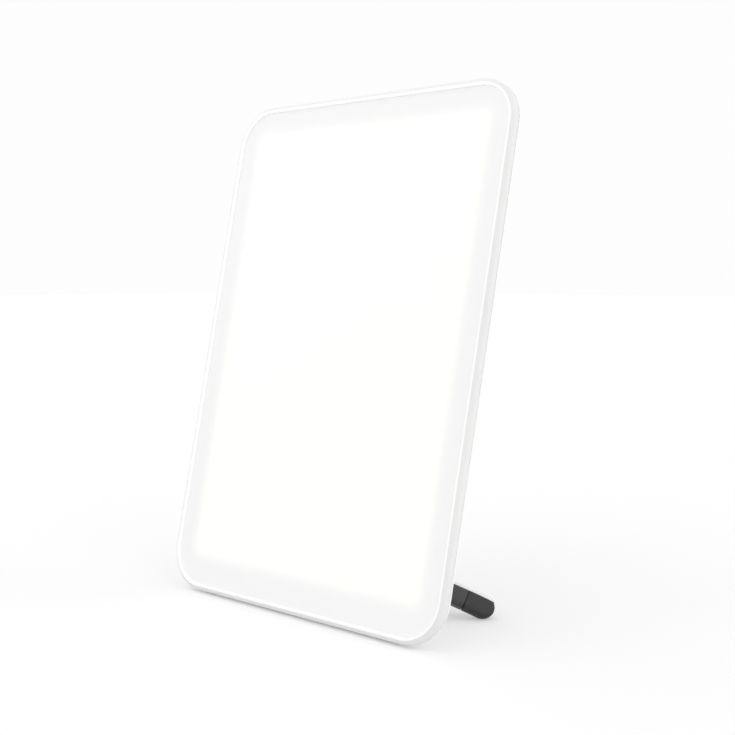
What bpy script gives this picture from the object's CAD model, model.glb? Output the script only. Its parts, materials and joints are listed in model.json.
# %% [markdown]
# # A light therapy lamp, dressed in Blender
# The construction is fixed: it comes in as a frame of named pieces at their real size, in metres.
# This lesson adds what a frame lacks: the studio, the finish of every surface, the glow of the
# diffuser, and the few mouldings whose fine edges show from close by. Read it from the top: each
# helper is made where it is first needed, and each cell prints what it made.

import json
import math

import bmesh
import bpy
import numpy as np
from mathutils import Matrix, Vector


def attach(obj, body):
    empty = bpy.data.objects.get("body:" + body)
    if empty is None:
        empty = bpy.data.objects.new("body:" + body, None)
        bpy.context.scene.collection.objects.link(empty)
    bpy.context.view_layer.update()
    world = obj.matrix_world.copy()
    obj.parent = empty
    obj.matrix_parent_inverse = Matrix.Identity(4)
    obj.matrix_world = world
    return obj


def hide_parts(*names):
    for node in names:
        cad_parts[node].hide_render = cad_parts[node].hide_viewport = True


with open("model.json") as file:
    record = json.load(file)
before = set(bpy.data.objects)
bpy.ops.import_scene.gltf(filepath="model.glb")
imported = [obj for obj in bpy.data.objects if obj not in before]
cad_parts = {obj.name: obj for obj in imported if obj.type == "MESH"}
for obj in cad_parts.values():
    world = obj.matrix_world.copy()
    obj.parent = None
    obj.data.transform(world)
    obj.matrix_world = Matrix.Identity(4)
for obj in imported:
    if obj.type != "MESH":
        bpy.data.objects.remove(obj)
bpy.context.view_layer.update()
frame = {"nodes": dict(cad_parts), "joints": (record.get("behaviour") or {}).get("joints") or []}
nodes = frame["nodes"]

# %% [markdown]
# ## The lamp's own axes
# The panel leans back, so hardly anything on it runs along the world's axes. Every panel shape is
# therefore worked out flat, as (across, up, deep), and then laid on the lamp by two unit vectors:
# `UP` runs along the face and `DEEP` goes straight through it. The foot has a plane of its own,
# which slopes down from the hinge. The joint of the frame says where that hinge is.

# %% Axes and main sizes, in metres
MM = 0.001
TILT = math.radians(13.2)
FOOT_SLOPE = math.radians(37.5)
PANEL_W, PANEL_H, CORNER_R = 0.2263, 0.3283, 0.0275

UP = np.array([0.0, math.sin(TILT), math.cos(TILT)])
DEEP = np.array([0.0, math.cos(TILT), -math.sin(TILT)])
ACROSS = np.array([1.0, 0.0, 0.0])

hinge = next(j for j in frame["joints"] if j["name"] == "stand_fold")
HINGE = np.array(hinge["pos_m"])
HINGE_UP, HINGE_DEEP = 47.8 * MM, 25.5 * MM
PANEL_FOOT = HINGE - HINGE_UP * UP - HINGE_DEEP * DEEP
PANEL_MIDDLE = PANEL_FOOT + 0.5 * PANEL_H * UP

FOOT_OUT = np.array([0.0, math.cos(FOOT_SLOPE), -math.sin(FOOT_SLOPE)])
FOOT_TOP = np.array([0.0, math.sin(FOOT_SLOPE), math.cos(FOOT_SLOPE)])
print("panel's bottom edge:", np.round(PANEL_FOOT, 4), "hinge:", np.round(HINGE, 4))

# %% [markdown]
# ## The camera first
# A likeness starts with the camera. The photograph was taken from the lamp's right, a little above
# its middle, with a lens a little longer than normal. The camera looks down by a few degrees, and a
# small vertical shift sets the lamp in its place in the picture without tipping its edges further.

# %% Camera
CAMERA_AT = (0.47025, -0.51660, 0.20596)
CAMERA_TURN = math.radians(40.69)
CAMERA_DIP = math.radians(6.39)
FOCAL_MM, SENSOR_MM = 54.88, 36.0
SHIFT_UP = 36.5 / 735

camera_data = bpy.data.cameras.new("camera")
camera_data.lens, camera_data.sensor_width = FOCAL_MM, SENSOR_MM
camera_data.shift_y = SHIFT_UP
camera_data.clip_start = 0.01
camera = bpy.data.objects.new("camera", camera_data)
camera.location = CAMERA_AT
camera.rotation_euler = (math.pi / 2 - CAMERA_DIP, 0.0, CAMERA_TURN)
bpy.context.scene.collection.objects.link(camera)
bpy.context.scene.camera = camera
print("camera at", CAMERA_AT, "with a", FOCAL_MM, "mm lens")

# %% [markdown]
# ## Shader maths as plain Python
# A pattern such as "brighter away from the edge" is a formula. Nodes make formulas hard to read, so
# one small class wraps a socket: adding or multiplying two wrapped sockets adds the Math node that
# does it. A second class holds a material's tree and makes any other node.

# %% Socket wrapper
class Wire:
    """An output socket that can be used in arithmetic. Each operator adds one Math node."""

    def __init__(self, tree, socket):
        self.tree, self.socket = tree, socket

    def math(self, operation, *others):
        """Math node on this value and the others: one node, whose operation is named."""
        node = self.tree.nodes.new("ShaderNodeMath")
        node.operation = operation
        for entry, value in zip(node.inputs, (self, *others)):
            plug(self.tree, entry, value)
        return Wire(self.tree, node.outputs[0])

    def __add__(self, other):
        return self.math("ADD", other)

    def __sub__(self, other):
        return self.math("SUBTRACT", other)

    def __rsub__(self, other):
        return (self * -1.0).math("ADD", other)

    def __mul__(self, other):
        return self.math("MULTIPLY", other)

    def ramp(self, low, high, start=0.0, end=1.0):
        """Smoothly from start, where this value is low, to end, where it is high."""
        node = self.tree.nodes.new("ShaderNodeMapRange")
        node.interpolation_type = "SMOOTHSTEP"
        for entry, value in zip(node.inputs, (self, low, high, start, end)):
            plug(self.tree, entry, value)
        return Wire(self.tree, node.outputs[0])


def plug(tree, entry, value):
    """Puts a number, a colour or a wrapped socket into an input."""
    if isinstance(value, Wire):
        tree.links.new(value.socket, entry)
    elif isinstance(value, (tuple, list)) and len(value) == 3 and len(entry.default_value) == 4:
        entry.default_value = (*value, 1.0)
    else:
        entry.default_value = value


class Finish:
    """A material under construction, with its Principled shader and Object coordinates."""

    def __init__(self, name, **constants):
        self.material = bpy.data.materials.new(name)
        self.material.use_nodes = True
        self.tree = self.material.node_tree
        self.shader = self.tree.nodes["Principled BSDF"]
        self.place = self.node("ShaderNodeTexCoord", out="Object")
        for entry, value in constants.items():
            self.set(entry.replace("_", " "), value)

    def set(self, entry, value):
        """Sets or links an input of the Principled shader."""
        plug(self.tree, self.shader.inputs[entry], value)

    def node(self, kind, settings=None, out=0, **entries):
        """Any node: its settings first, then values or links for the inputs named."""
        node = self.tree.nodes.new(kind)
        for key, value in (settings or {}).items():
            setattr(node, key, value)
        for key, value in entries.items():
            plug(self.tree, node.inputs[key.replace("_", " ")], value)
        return Wire(self.tree, node.outputs[out])

    def noise(self, scale, detail=2.0, stretch=(1.0, 1.0, 1.0), roughness=0.5):
        """Noise from 0 to 1 on Object coordinates, its grain about 1 / scale metres."""
        place = self.node("ShaderNodeMapping", Vector=self.place, Scale=stretch)
        return self.node("ShaderNodeTexNoise", Vector=place, Scale=scale, Detail=detail,
                         Roughness=roughness)

    def blend(self, amount, first, second):
        """A colour between two colours."""
        node = self.tree.nodes.new("ShaderNodeMix")
        node.data_type = "RGBA"
        for entry, value in zip((node.inputs[0], node.inputs[6], node.inputs[7]),
                                (amount, first, second)):
            plug(self.tree, entry, value)
        return Wire(self.tree, node.outputs[2])

    def bump(self, height, depth):
        """Raises the surface by height times depth metres, in the shading only."""
        normal = self.node("ShaderNodeBump", Height=height, Distance=depth, Strength=1.0)
        self.set("Normal", normal)


print("shader helpers ready")

# %% [markdown]
# ## Smooth shading that keeps its edges
# The frame's pieces come in as loose triangles. Their shapes are right, so they stay, but a fillet
# made of loose triangles looks faceted. Modifiers may finish a piece without touching its own mesh:
# a tiny node group joins the triangles and smooths every edge flatter than 32 degrees, so that
# fillets flow and real corners stay crisp.

# %% Modifier for the frame's pieces
CREASE = math.radians(32)


def smoothing_group():
    """Geometry nodes: merge by distance, smooth all faces, keep edges sharper than CREASE."""
    group = bpy.data.node_groups.new("smooth_but_creased", "GeometryNodeTree")
    for way in ("INPUT", "OUTPUT"):
        group.interface.new_socket("Geometry", in_out=way, socket_type="NodeSocketGeometry")
    first, last = group.nodes.new("NodeGroupInput"), group.nodes.new("NodeGroupOutput")
    merge = group.nodes.new("GeometryNodeMergeByDistance")
    merge.inputs["Distance"].default_value = 0.001 * MM
    faces = group.nodes.new("GeometryNodeSetShadeSmooth")
    edges = group.nodes.new("GeometryNodeSetShadeSmooth")
    edges.domain = "EDGE"
    angle = group.nodes.new("GeometryNodeInputMeshEdgeAngle")
    flat = group.nodes.new("FunctionNodeCompare")
    flat.operation = "LESS_THAN"
    flat.inputs[1].default_value = CREASE
    join = group.links.new
    join(first.outputs[0], merge.inputs["Geometry"])
    join(merge.outputs[0], faces.inputs["Geometry"])
    join(faces.outputs[0], edges.inputs["Geometry"])
    join(angle.outputs[0], flat.inputs[0])
    join(flat.outputs[0], edges.inputs["Shade Smooth"])
    join(edges.outputs[0], last.inputs[0])
    return group


smooth_but_creased = smoothing_group()
for cad_piece in nodes.values():
    cad_piece.modifiers.new("smooth", "NODES").node_group = smooth_but_creased
print("smoothing on", len(nodes), "pieces")

# %% [markdown]
# ## A surface from a grid
# Every new piece is a grid of points: one parameter runs along a path, the other round a section.
# `surface` turns such a grid into a mesh in one go. Where a row of the grid shrinks to a point or a
# line, its doubles are merged, so poles and seams are closed.

# %% Mesh builder
def surface(name, points, close_rows=False, close_columns=False):
    """A mesh from an array of shape (rows, columns, 3): one quad between each four neighbours.

    close_rows joins the last row to the first, and close_columns does it for columns.
    """
    rows, columns = points.shape[:2]
    index = np.arange(rows * columns).reshape(rows, columns)
    if close_rows:
        index = np.vstack([index, index[:1]])
    if close_columns:
        index = np.hstack([index, index[:, :1]])
    quads = np.stack([index[:-1, :-1], index[:-1, 1:], index[1:, 1:], index[1:, :-1]], axis=-1)
    mesh = bpy.data.meshes.new(name)
    mesh.from_pydata(points.reshape(-1, 3), [], quads.reshape(-1, 4).tolist())
    return finished(name, mesh)


def finished(name, mesh):
    """Merges doubles, turns all faces outwards, shades smooth with crisp edges, and links it."""
    work = bmesh.new()
    work.from_mesh(mesh)
    bmesh.ops.remove_doubles(work, verts=work.verts, dist=0.002 * MM)
    bmesh.ops.dissolve_degenerate(work, dist=0.001 * MM, edges=work.edges)
    bmesh.ops.recalc_face_normals(work, faces=work.faces)
    work.to_mesh(mesh)
    work.free()
    mesh.shade_smooth()
    mesh.set_sharp_from_angle(angle=CREASE)
    piece = bpy.data.objects.new(name, mesh)
    bpy.context.scene.collection.objects.link(piece)
    print(name, len(mesh.polygons), "faces")
    return piece


def arc(middle, radius, start, end, count):
    """Points on an arc from angle start to end, in degrees, as an array (count, 2)."""
    turn = np.radians(np.linspace(start, end, count))
    return np.asarray(middle) + radius * np.column_stack([np.cos(turn), np.sin(turn)])


# %% [markdown]
# ## Shapes that follow the panel's outline
# The outline is a rectangle with round corners. Measured from the centre of a corner, a section
# point has one distance outwards and one depth, whether it sits at a corner or on a straight side.
# So carrying a section round the outline needs only the four corner arcs: the long quads between
# them are the straight sides.

# %% Section carried round the panel
CORNER_STEPS = 24


def on_panel(across, up, deep):
    """World points of panel places: the panel's middle plus the three distances along its axes."""
    return (PANEL_MIDDLE + np.multiply.outer(across, ACROSS) + np.multiply.outer(up, UP)
            + np.multiply.outer(deep, DEEP))


def round_the_panel(section):
    """Carries a section (out, deep) in metres round the outline: rows are places on the path."""
    turn = np.radians(np.linspace(0, 90, CORNER_STEPS))
    turns = (turn[None, :] + np.radians([[0], [90], [180], [270]])).ravel()
    side_x = np.repeat([1, -1, -1, 1], CORNER_STEPS) * (PANEL_W / 2 - CORNER_R)
    side_y = np.repeat([1, 1, -1, -1], CORNER_STEPS) * (PANEL_H / 2 - CORNER_R)
    out, deep = section[:, 0], section[:, 1]
    across = side_x[:, None] + np.outer(np.cos(turns), out)
    up = side_y[:, None] + np.outer(np.sin(turns), out)
    return on_panel(across, up, np.broadcast_to(deep, across.shape))


# %% [markdown]
# ## Front frame
# On the real lamp this is one thin moulding: a narrow flat lip over the diffuser, a bowed chamfer
# round the outside of the face, a side wall, and a step where the back cover begins. None of the
# edges in view is sharp: the tool leaves a small radius at each, and those radii catch the light as
# thin lines. The chamfer is an arc, whose centre follows from its two ends and its radius.

# %% Front frame
CHAMFER_W, CHAMFER_D, BOW_R = 2.5 * MM, 1.6 * MM, 6.0 * MM
BEZEL, LIP, WALL_IN = 3.8 * MM, 1.5 * MM, 3.1 * MM
PARTING, TONGUE, FRAME_BACK = 5.2 * MM, 0.8 * MM, 6.3 * MM
EDGE_R = 0.2 * MM
BOW_STEPS = 13


def bowed_chamfer(count):
    """Points from the face to the side wall, on an arc of radius BOW_R through both edges."""
    start, end = np.array([CORNER_R - CHAMFER_W, 0.0]), np.array([CORNER_R, CHAMFER_D])
    chord = end - start
    length = np.linalg.norm(chord)
    sink = math.sqrt(BOW_R**2 - length**2 / 4)
    middle = (start + end) / 2 + sink * np.array([-chord[1], chord[0]]) / length
    turn = [math.degrees(math.atan2(*(point - middle)[::-1])) for point in (start, end)]
    return arc(middle, BOW_R, *turn, count)


def softened(corner, before, after, count=4):
    """A corner of a section replaced by a curve that starts EDGE_R before it and ends after it."""
    corner, before, after = (np.asarray(point, float) for point in (corner, before, after))
    first = corner + EDGE_R * (before - corner) / np.linalg.norm(before - corner)
    last = corner + EDGE_R * (after - corner) / np.linalg.norm(after - corner)
    step = np.linspace(0, 1, count)[:, None]
    return (1 - step) ** 2 * first + 2 * step * (1 - step) * corner + step**2 * last


lip_out, wall_out = CORNER_R - BEZEL, CORNER_R - WALL_IN
bow = bowed_chamfer(BOW_STEPS)
frame_section = np.vstack([
    softened((lip_out, 0), (lip_out, LIP), bow[0]),
    softened(bow[0], (lip_out, 0), bow[1]),
    bow[1:-1],
    softened(bow[-1], bow[-2], (CORNER_R, PARTING)),
    softened((CORNER_R, PARTING), bow[-1], (wall_out, PARTING)),
    [(wall_out + TONGUE, PARTING), (wall_out + TONGUE, FRAME_BACK), (wall_out, FRAME_BACK),
     (wall_out, LIP), (lip_out, LIP)],
])
frame_moulding = surface("frame_moulding", round_the_panel(frame_section),
                         close_rows=True, close_columns=True)
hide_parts("front_frame")
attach(frame_moulding, "housing")

# %% [markdown]
# ## White strip of the foot
# The strip lies on the crescent bar, and over the bar's round ends it thins out to an edge. It is
# one grid: a row is a place along the strip, and the columns run over the top of its section and
# back under it. Each point on top has a twin below, so that where the strip ends the two meet.

# %% White strip of the foot
FOOT_R, FOOT_REACH, HALF_ANGLE = 125 * MM, 17 * MM, math.radians(46)
BAR_OFFSET, BAR_TOP, STRIP_T = -3.45 * MM, 4.8 * MM, 2.0 * MM
STRIP_HALF, STRIP_ROUND = 4.65 * MM, 1.2 * MM
NOSE_R = BAR_TOP + STRIP_T
BODY_ROWS, NOSE_ROWS, ROUND_STEPS = 97, 8, 6


def on_foot(across, out, high):
    """World points of foot places: across, away from the hinge, and out of the foot's plane."""
    return (HINGE + np.multiply.outer(across, ACROSS) + np.multiply.outer(out, FOOT_OUT)
            + np.multiply.outer(high, FOOT_TOP))


def along_the_foot(body_rows, nose_rows):
    """Places along the strip: angle off the middle, distance past the bar's end, thickness.

    Past the end, the top follows a circle of radius NOSE_R about the bar's middle line, so the
    thickness is sqrt(NOSE_R^2 - past^2) - BAR_TOP, until it is nothing.
    """
    lean = np.linspace(0, math.acos(BAR_TOP / NOSE_R), nose_rows + 1)[1:]
    past, thick = NOSE_R * np.sin(lean), NOSE_R * np.cos(lean) - BAR_TOP
    thick[-1] = 0.0
    angle = np.concatenate([np.full(nose_rows, -HALF_ANGLE),
                            np.linspace(-HALF_ANGLE, HALF_ANGLE, body_rows),
                            np.full(nose_rows, HALF_ANGLE)])
    past = np.concatenate([-past[::-1], np.zeros(body_rows), past])
    thick = np.concatenate([thick[::-1], np.full(body_rows, STRIP_T), thick])
    return angle, past, thick


def strip_points():
    """The strip's grid: half widths and heights of its section, carried along the foot."""
    corner = arc((STRIP_HALF - STRIP_ROUND, STRIP_T - STRIP_ROUND), STRIP_ROUND, 0, 90,
                 ROUND_STEPS)
    right = np.vstack([[(STRIP_HALF, 0.0)], corner])
    over = np.vstack([right, right[::-1] * (-1, 1)])
    wide = np.concatenate([over[:, 0], over[::-1, 0]])
    high = np.concatenate([over[:, 1], np.zeros(len(over))]) / STRIP_T
    angle, past, thick = along_the_foot(BODY_ROWS, NOSE_ROWS)
    radius = FOOT_R + wide[None, :]
    across = radius * np.sin(angle)[:, None] + (past * np.cos(angle))[:, None]
    out = (FOOT_REACH + FOOT_R - radius * np.cos(angle)[:, None]
           + (past * np.sin(angle))[:, None])
    return on_foot(across, out, BAR_OFFSET + BAR_TOP + np.outer(thick, high))


foot_strip = surface("foot_strip", strip_points(), close_columns=True)
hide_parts("stand_cap")
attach(foot_strip, "stand")

# %% [markdown]
# ## Panel places in a shader
# The diffuser's glow depends on how far a point is from each edge of the panel. Object coordinates
# are metres in the frame's axes, so two dot products give the place along the leaning face.

# %% Panel places as wires
def panel_place(finish):
    """Across, up and deep of the shaded point, in metres from the middle of the panel's face."""
    split = finish.tree.nodes.new("ShaderNodeSeparateXYZ")
    finish.tree.links.new(finish.place.socket, split.inputs[0])
    across, y, z = (Wire(finish.tree, entry) for entry in split.outputs)
    y, z = y - float(PANEL_MIDDLE[1]), z - float(PANEL_MIDDLE[2])
    up = y * float(UP[1]) + z * float(UP[2])
    deep = y * float(DEEP[1]) + z * float(DEEP[2])
    return across, up, deep


def corner_distance(across, up):
    """Distance outwards from the centre line of the corners: the outer edge is at CORNER_R."""
    past_x = (across.math("ABSOLUTE") - (PANEL_W / 2 - CORNER_R)).math("MAXIMUM", 0.0)
    past_y = (up.math("ABSOLUTE") - (PANEL_H / 2 - CORNER_R)).math("MAXIMUM", 0.0)
    return (past_x * past_x + past_y * past_y).math("SQRT")


# %% [markdown]
# ## The lit diffuser
# An edge-lit panel glows evenly, except near its rim, where the light guide's dot pattern starts:
# there a border stays dimmer, and fades into the bright middle over a centimetre and a half. The
# border is a product of four soft steps, one for each side. Each step has two distances from the
# panel's edge, where it starts and where it is done.

# %% Diffuser finish
RIGHT_STEP, LEFT_STEP = (11 * MM, 24 * MM), (12 * MM, 26 * MM)
TOP_STEP, BOTTOM_STEP = (12 * MM, 27 * MM), (15 * MM, 31 * MM)
WARM_WHITE, BORDER_WHITE = (1.0, 1.0, 0.94), (0.97, 0.98, 0.97)
LIT_SHEET, BORDER_SHEET = (0.30, 0.30, 0.285), (0.72, 0.725, 0.72)
BORDER_GLOW, LIT_GLOW, DOT_GLOW = 0.13, 0.55, 0.01

opal = Finish("opal_diffuser", Roughness=0.36)
across, up, deep = panel_place(opal)
lit = ((PANEL_W / 2 - across).ramp(*RIGHT_STEP) * (across + PANEL_W / 2).ramp(*LEFT_STEP)
       * (PANEL_H / 2 - up).ramp(*TOP_STEP) * (up + PANEL_H / 2).ramp(*BOTTOM_STEP))
dots = opal.noise(900.0, detail=1.0)
glow = lit * (dots * DOT_GLOW + LIT_GLOW) + BORDER_GLOW
opal.set("Base Color", opal.blend(lit, BORDER_SHEET, LIT_SHEET))
opal.set("Emission Strength", 1.0)
tinted = opal.tree.nodes.new("ShaderNodeVectorMath")
tinted.operation = "SCALE"
opal.tree.links.new(opal.blend(lit, BORDER_WHITE, WARM_WHITE).socket, tinted.inputs[0])
opal.tree.links.new(glow.socket, tinted.inputs["Scale"])
opal.set("Emission Color", Wire(opal.tree, tinted.outputs[0]))
opal.bump(opal.noise(2600.0, detail=3.0), 0.004 * MM)
print("opal:", len(opal.tree.nodes), "shader nodes")

# %% [markdown]
# ## White mouldings
# White plastic is never one white. The frame is greyer and glossier than the cover, which has a
# fine matt grain. Both have a faint unevenness over some centimetres. The frame's lip stands beside
# the glowing sheet and scatters some of its light, most of all from the short wall that faces the
# sheet. That glow is cut off by depth on the lip, and by the distance outwards on the wall.

# %% Frame and cover finishes
NO_GLOW, LIP_GLOW, WALL_GLOW = (0.0, 0.0, 0.0), (0.18, 0.18, 0.175), (0.32, 0.32, 0.305)
LIP_FADE = (0.01 * MM, 0.06 * MM)
WALL_FADE = (BEZEL - 0.02 * MM, BEZEL - 0.1 * MM)


def white_plastic(name, tone, gloss, grain, grain_depth):
    """A moulded white: a tone that drifts by two or three percent, and a grain in its bump."""
    finish = Finish(name)
    drift = finish.noise(14.0, detail=3.0)
    warm = tuple(tone * part for part in (1.0, 0.998, 0.99))
    cool = tuple(0.975 * tone * part for part in (0.995, 0.998, 1.0))
    finish.set("Base Color", finish.blend(drift.ramp(0.3, 0.7), warm, cool))
    rough = finish.noise(260.0, detail=4.0)
    finish.set("Roughness", rough * 0.08 + gloss)
    finish.bump(finish.noise(grain, detail=4.0, roughness=0.6), grain_depth)
    return finish


frame_white = white_plastic("frame_white", 0.745, 0.26, 1800.0, 0.004 * MM)
across, up, deep = panel_place(frame_white)
out = corner_distance(across, up)
on_lip = deep.ramp(*LIP_FADE, 1.0, 0.0)
on_wall = out.ramp(CORNER_R - WALL_FADE[0], CORNER_R - WALL_FADE[1], 1.0, 0.0)
lip_light = frame_white.blend(on_lip, NO_GLOW, LIP_GLOW)
frame_white.set("Emission Color", frame_white.blend(on_wall, lip_light, WALL_GLOW))
frame_white.set("Emission Strength", 1.0)
cover_white = white_plastic("cover_white", 0.88, 0.42, 1500.0, 0.012 * MM)
strip_white = white_plastic("strip_white", 0.77, 0.30, 1800.0, 0.004 * MM)
frame_moulding.data.materials.append(frame_white.material)
foot_strip.data.materials.append(strip_white.material)

# %% [markdown]
# ## Foot, rubber and metal
# The foot is a satin dark grey moulding whose raised spots are worn a little smoother, so its
# roughness drifts. The rubber of its boots is darker, rougher and dusty, and the strip under the
# panel is of a paler rubber. Rolled, turned and plated metals differ in how their scratches run.

# %% Dark mouldings
def dark_plastic(name, tone, gloss, grain, grain_depth, dust=0.0):
    """A dark moulding: two close tones, drifting gloss, a grain, and dust as a lighter speckle."""
    finish = Finish(name)
    drift = finish.noise(40.0, detail=4.0).ramp(0.3, 0.7)
    light = tuple(1.12 * tone * part for part in (1.0, 1.0, 1.02))
    dark = tuple(0.92 * tone * part for part in (1.0, 1.0, 1.01))
    colour = finish.blend(drift, dark, light)
    if dust:
        specks = finish.noise(700.0, detail=3.0).ramp(0.58, 0.78) * dust
        colour = finish.blend(specks, colour, (0.30, 0.29, 0.28))
    finish.set("Base Color", colour)
    finish.set("Roughness", finish.noise(150.0, detail=3.0) * 0.10 + gloss)
    finish.bump(finish.noise(grain, detail=5.0, roughness=0.65), grain_depth)
    return finish


foot_grey = dark_plastic("foot_grey", 0.029, 0.38, 1600.0, 0.015 * MM)
rubber_dark = dark_plastic("rubber_dark", 0.022, 0.62, 1200.0, 0.02 * MM, dust=0.12)
rubber_pale = dark_plastic("rubber_pale", 0.16, 0.62, 1200.0, 0.02 * MM, dust=0.12)
black_plastic = dark_plastic("black_plastic", 0.022, 0.42, 1800.0, 0.01 * MM)

# %% Metals
def metal(name, tone, gloss, stretch, depth):
    """A metal with fine scratches in its gloss. A stretch below 1 draws them out along an axis."""
    finish = Finish(name, Metallic=1.0)
    scratches = finish.noise(700.0, detail=5.0, stretch=stretch, roughness=0.7)
    finish.set("Base Color", finish.blend(scratches, tuple(0.9 * t for t in tone), tone))
    finish.set("Roughness", scratches * 0.16 + gloss)
    finish.bump(scratches, depth)
    return finish


plated_steel = metal("plated_steel", (0.70, 0.71, 0.73), 0.22, (1.0, 1.0, 1.0), 0.004 * MM)
turned_steel = metal("turned_steel", (0.66, 0.67, 0.69), 0.18, (0.05, 1.0, 1.0), 0.004 * MM)
rolled_aluminium = metal("rolled_aluminium", (0.80, 0.81, 0.82), 0.30, (0.04, 1.0, 1.0), 0.006 * MM)

# %% [markdown]
# ## What lies inside
# The stack behind the diffuser and the driver show only through the vents, or when someone opens
# the lamp. They still get a finish each: printed boards have a lacquer with faint copper tracks
# under it, films are smooth, and the LEDs have a yellow phosphor.

# %% Finishes of the inner pieces
def plain_sheet(name, tone, gloss, tint=0.97):
    """A smooth sheet whose tone drifts between tone and tint times tone."""
    finish = Finish(name)
    drift = finish.noise(25.0, detail=2.0).ramp(0.3, 0.7)
    finish.set("Base Color", finish.blend(drift, tone, tuple(tint * part for part in tone)))
    finish.set("Roughness", finish.noise(200.0) * 0.06 + gloss)
    finish.bump(finish.noise(2400.0, detail=2.0), 0.002 * MM)
    return finish


def printed_board(name, lacquer, track):
    """Lacquer over tracks: noise drawn out along one axis and cut into bands."""
    finish = Finish(name)
    bands = finish.noise(420.0, detail=0.0, stretch=(0.15, 1.0, 1.0)).ramp(0.52, 0.56)
    finish.set("Base Color", finish.blend(bands * 0.5, lacquer, track))
    finish.set("Roughness", bands * 0.1 + 0.3)
    finish.bump(bands, 0.03 * MM)
    return finish


finishes = {
    "diffuser": opal, "back_cover": cover_white,
    "hinge_bracket_left": cover_white, "hinge_bracket_right": cover_white,
    "stand_body": foot_grey, "stand_tip_left": rubber_dark, "stand_tip_right": rubber_dark,
    "base_feet": rubber_pale, "dc_jack": black_plastic, "tact_switch": black_plastic,
    "driver_components": black_plastic, "jack_nut": plated_steel, "case_screws": plated_steel,
    "bracket_screws": plated_steel, "board_screws": plated_steel, "pin_clips": plated_steel,
    "hinge_pin": turned_steel, "friction_washers": turned_steel, "chassis_plate": rolled_aluminium,
    "power_button": white_plastic("button_grey", 0.74, 0.34, 1500.0, 0.008 * MM),
    "optical_film": plain_sheet("optical_film", (0.86, 0.91, 0.93), 0.12),
    "light_guide": plain_sheet("guide_acrylic", (0.84, 0.91, 0.92), 0.08),
    "reflector_sheet": plain_sheet("reflector_white", (0.93, 0.93, 0.93), 0.55),
    "led_board_left": printed_board("board_white", (0.88, 0.88, 0.86), (0.75, 0.74, 0.70)),
    "driver_board": printed_board("board_green", (0.03, 0.16, 0.08), (0.07, 0.26, 0.12)),
    "led_chips_left": plain_sheet("phosphor", (0.92, 0.72, 0.20), 0.25, tint=0.9),
    "inner_leads": plain_sheet("red_sleeve", (0.42, 0.04, 0.035), 0.45, tint=0.85),
}
finishes["led_board_right"] = finishes["led_board_left"]
finishes["led_chips_right"] = finishes["led_chips_left"]
for name, finish in finishes.items():
    slots = nodes[name].data.materials
    slots.clear()
    slots.append(finish.material)
print("finishes on", len(finishes), "frame pieces")

# %% [markdown]
# ## Studio
# The photograph has a white studio with no horizon: the floor and the air behind it are the same
# white, and only soft shadows show where the floor is. The world gives an even light. Two wide soft
# lights, one high on each side, make the panel's edges brighter than its front, and a weaker one in
# front throws the soft shadow behind it. All are suns, whose light is the same everywhere, so the
# floor stays even out to the horizon. To the camera and to mirrors, part of the floor's white is its
# own, which makes its shadows as faint as the picture's.

# %% Floor, world and lamps
FLOOR_TONE, SEEN_TONE, SEEN_LIFT, AIR_TONE = 0.90, 0.56, 0.345, 0.985
WORLD_STRENGTH, LEFT_STRENGTH, RIGHT_STRENGTH, FRONT_STRENGTH = 0.70, 0.70, 1.10, 0.42
LEFT_FROM, RIGHT_FROM, FRONT_FROM = (-1.2, -0.4, 1.3), (1.8, 0.3, 1.2), (-0.1, -1.2, 1.2)
SIDE_SOFTNESS, FRONT_SOFTNESS = 70, 50

floor_mesh = bpy.data.meshes.new("floor")
floor_mesh.from_pydata([(-12, -12, 0), (12, -12, 0), (12, 12, 0), (-12, 12, 0)], [], [(0, 1, 2, 3)])
floor = bpy.data.objects.new("floor", floor_mesh)
bpy.context.scene.collection.objects.link(floor)

floor_finish = Finish("floor_white", Roughness=0.9, Specular_IOR_Level=0.2)
ray = floor_finish.tree.nodes.new("ShaderNodeLightPath")
seen = (Wire(floor_finish.tree, ray.outputs["Is Camera Ray"])
        + Wire(floor_finish.tree, ray.outputs["Is Glossy Ray"])
        + Wire(floor_finish.tree, ray.outputs["Is Transmission Ray"]))
floor_finish.set("Base Color", floor_finish.blend(seen, (FLOOR_TONE,) * 3, (SEEN_TONE,) * 3))
floor_finish.set("Emission Color", (1.0, 1.0, 1.0))
floor_finish.set("Emission Strength", seen * SEEN_LIFT)
floor_mesh.materials.append(floor_finish.material)

world = bpy.data.worlds.new("studio")
bpy.context.scene.world = world
world.use_nodes = True
air = world.node_tree
background = air.nodes["Background"]
path = air.nodes.new("ShaderNodeLightPath")
seen = (Wire(air, path.outputs["Is Camera Ray"]) + Wire(air, path.outputs["Is Glossy Ray"])
        + Wire(air, path.outputs["Is Transmission Ray"]))
background.inputs["Color"].default_value = (1.0, 1.0, 1.0, 1.0)
plug(air, background.inputs["Strength"], seen.ramp(0.0, 1.0, WORLD_STRENGTH, AIR_TONE))


def soft_sun(name, strength, source, angle):
    """A sun that shines from the direction of source, soft over an angle in degrees."""
    data = bpy.data.lights.new(name, "SUN")
    data.energy, data.angle = strength, math.radians(angle)
    lamp = bpy.data.objects.new(name, data)
    lamp.location = source
    lamp.rotation_euler = (-Vector(source)).to_track_quat("-Z", "Y").to_euler()
    bpy.context.scene.collection.objects.link(lamp)


soft_sun("left", LEFT_STRENGTH, LEFT_FROM, SIDE_SOFTNESS)
soft_sun("right", RIGHT_STRENGTH, RIGHT_FROM, SIDE_SOFTNESS)
soft_sun("front", FRONT_STRENGTH, FRONT_FROM, FRONT_SOFTNESS)
bpy.context.scene.view_settings.view_transform = "Standard"
print("studio: world", WORLD_STRENGTH, "left", LEFT_STRENGTH, "right", RIGHT_STRENGTH, "front",
      FRONT_STRENGTH)
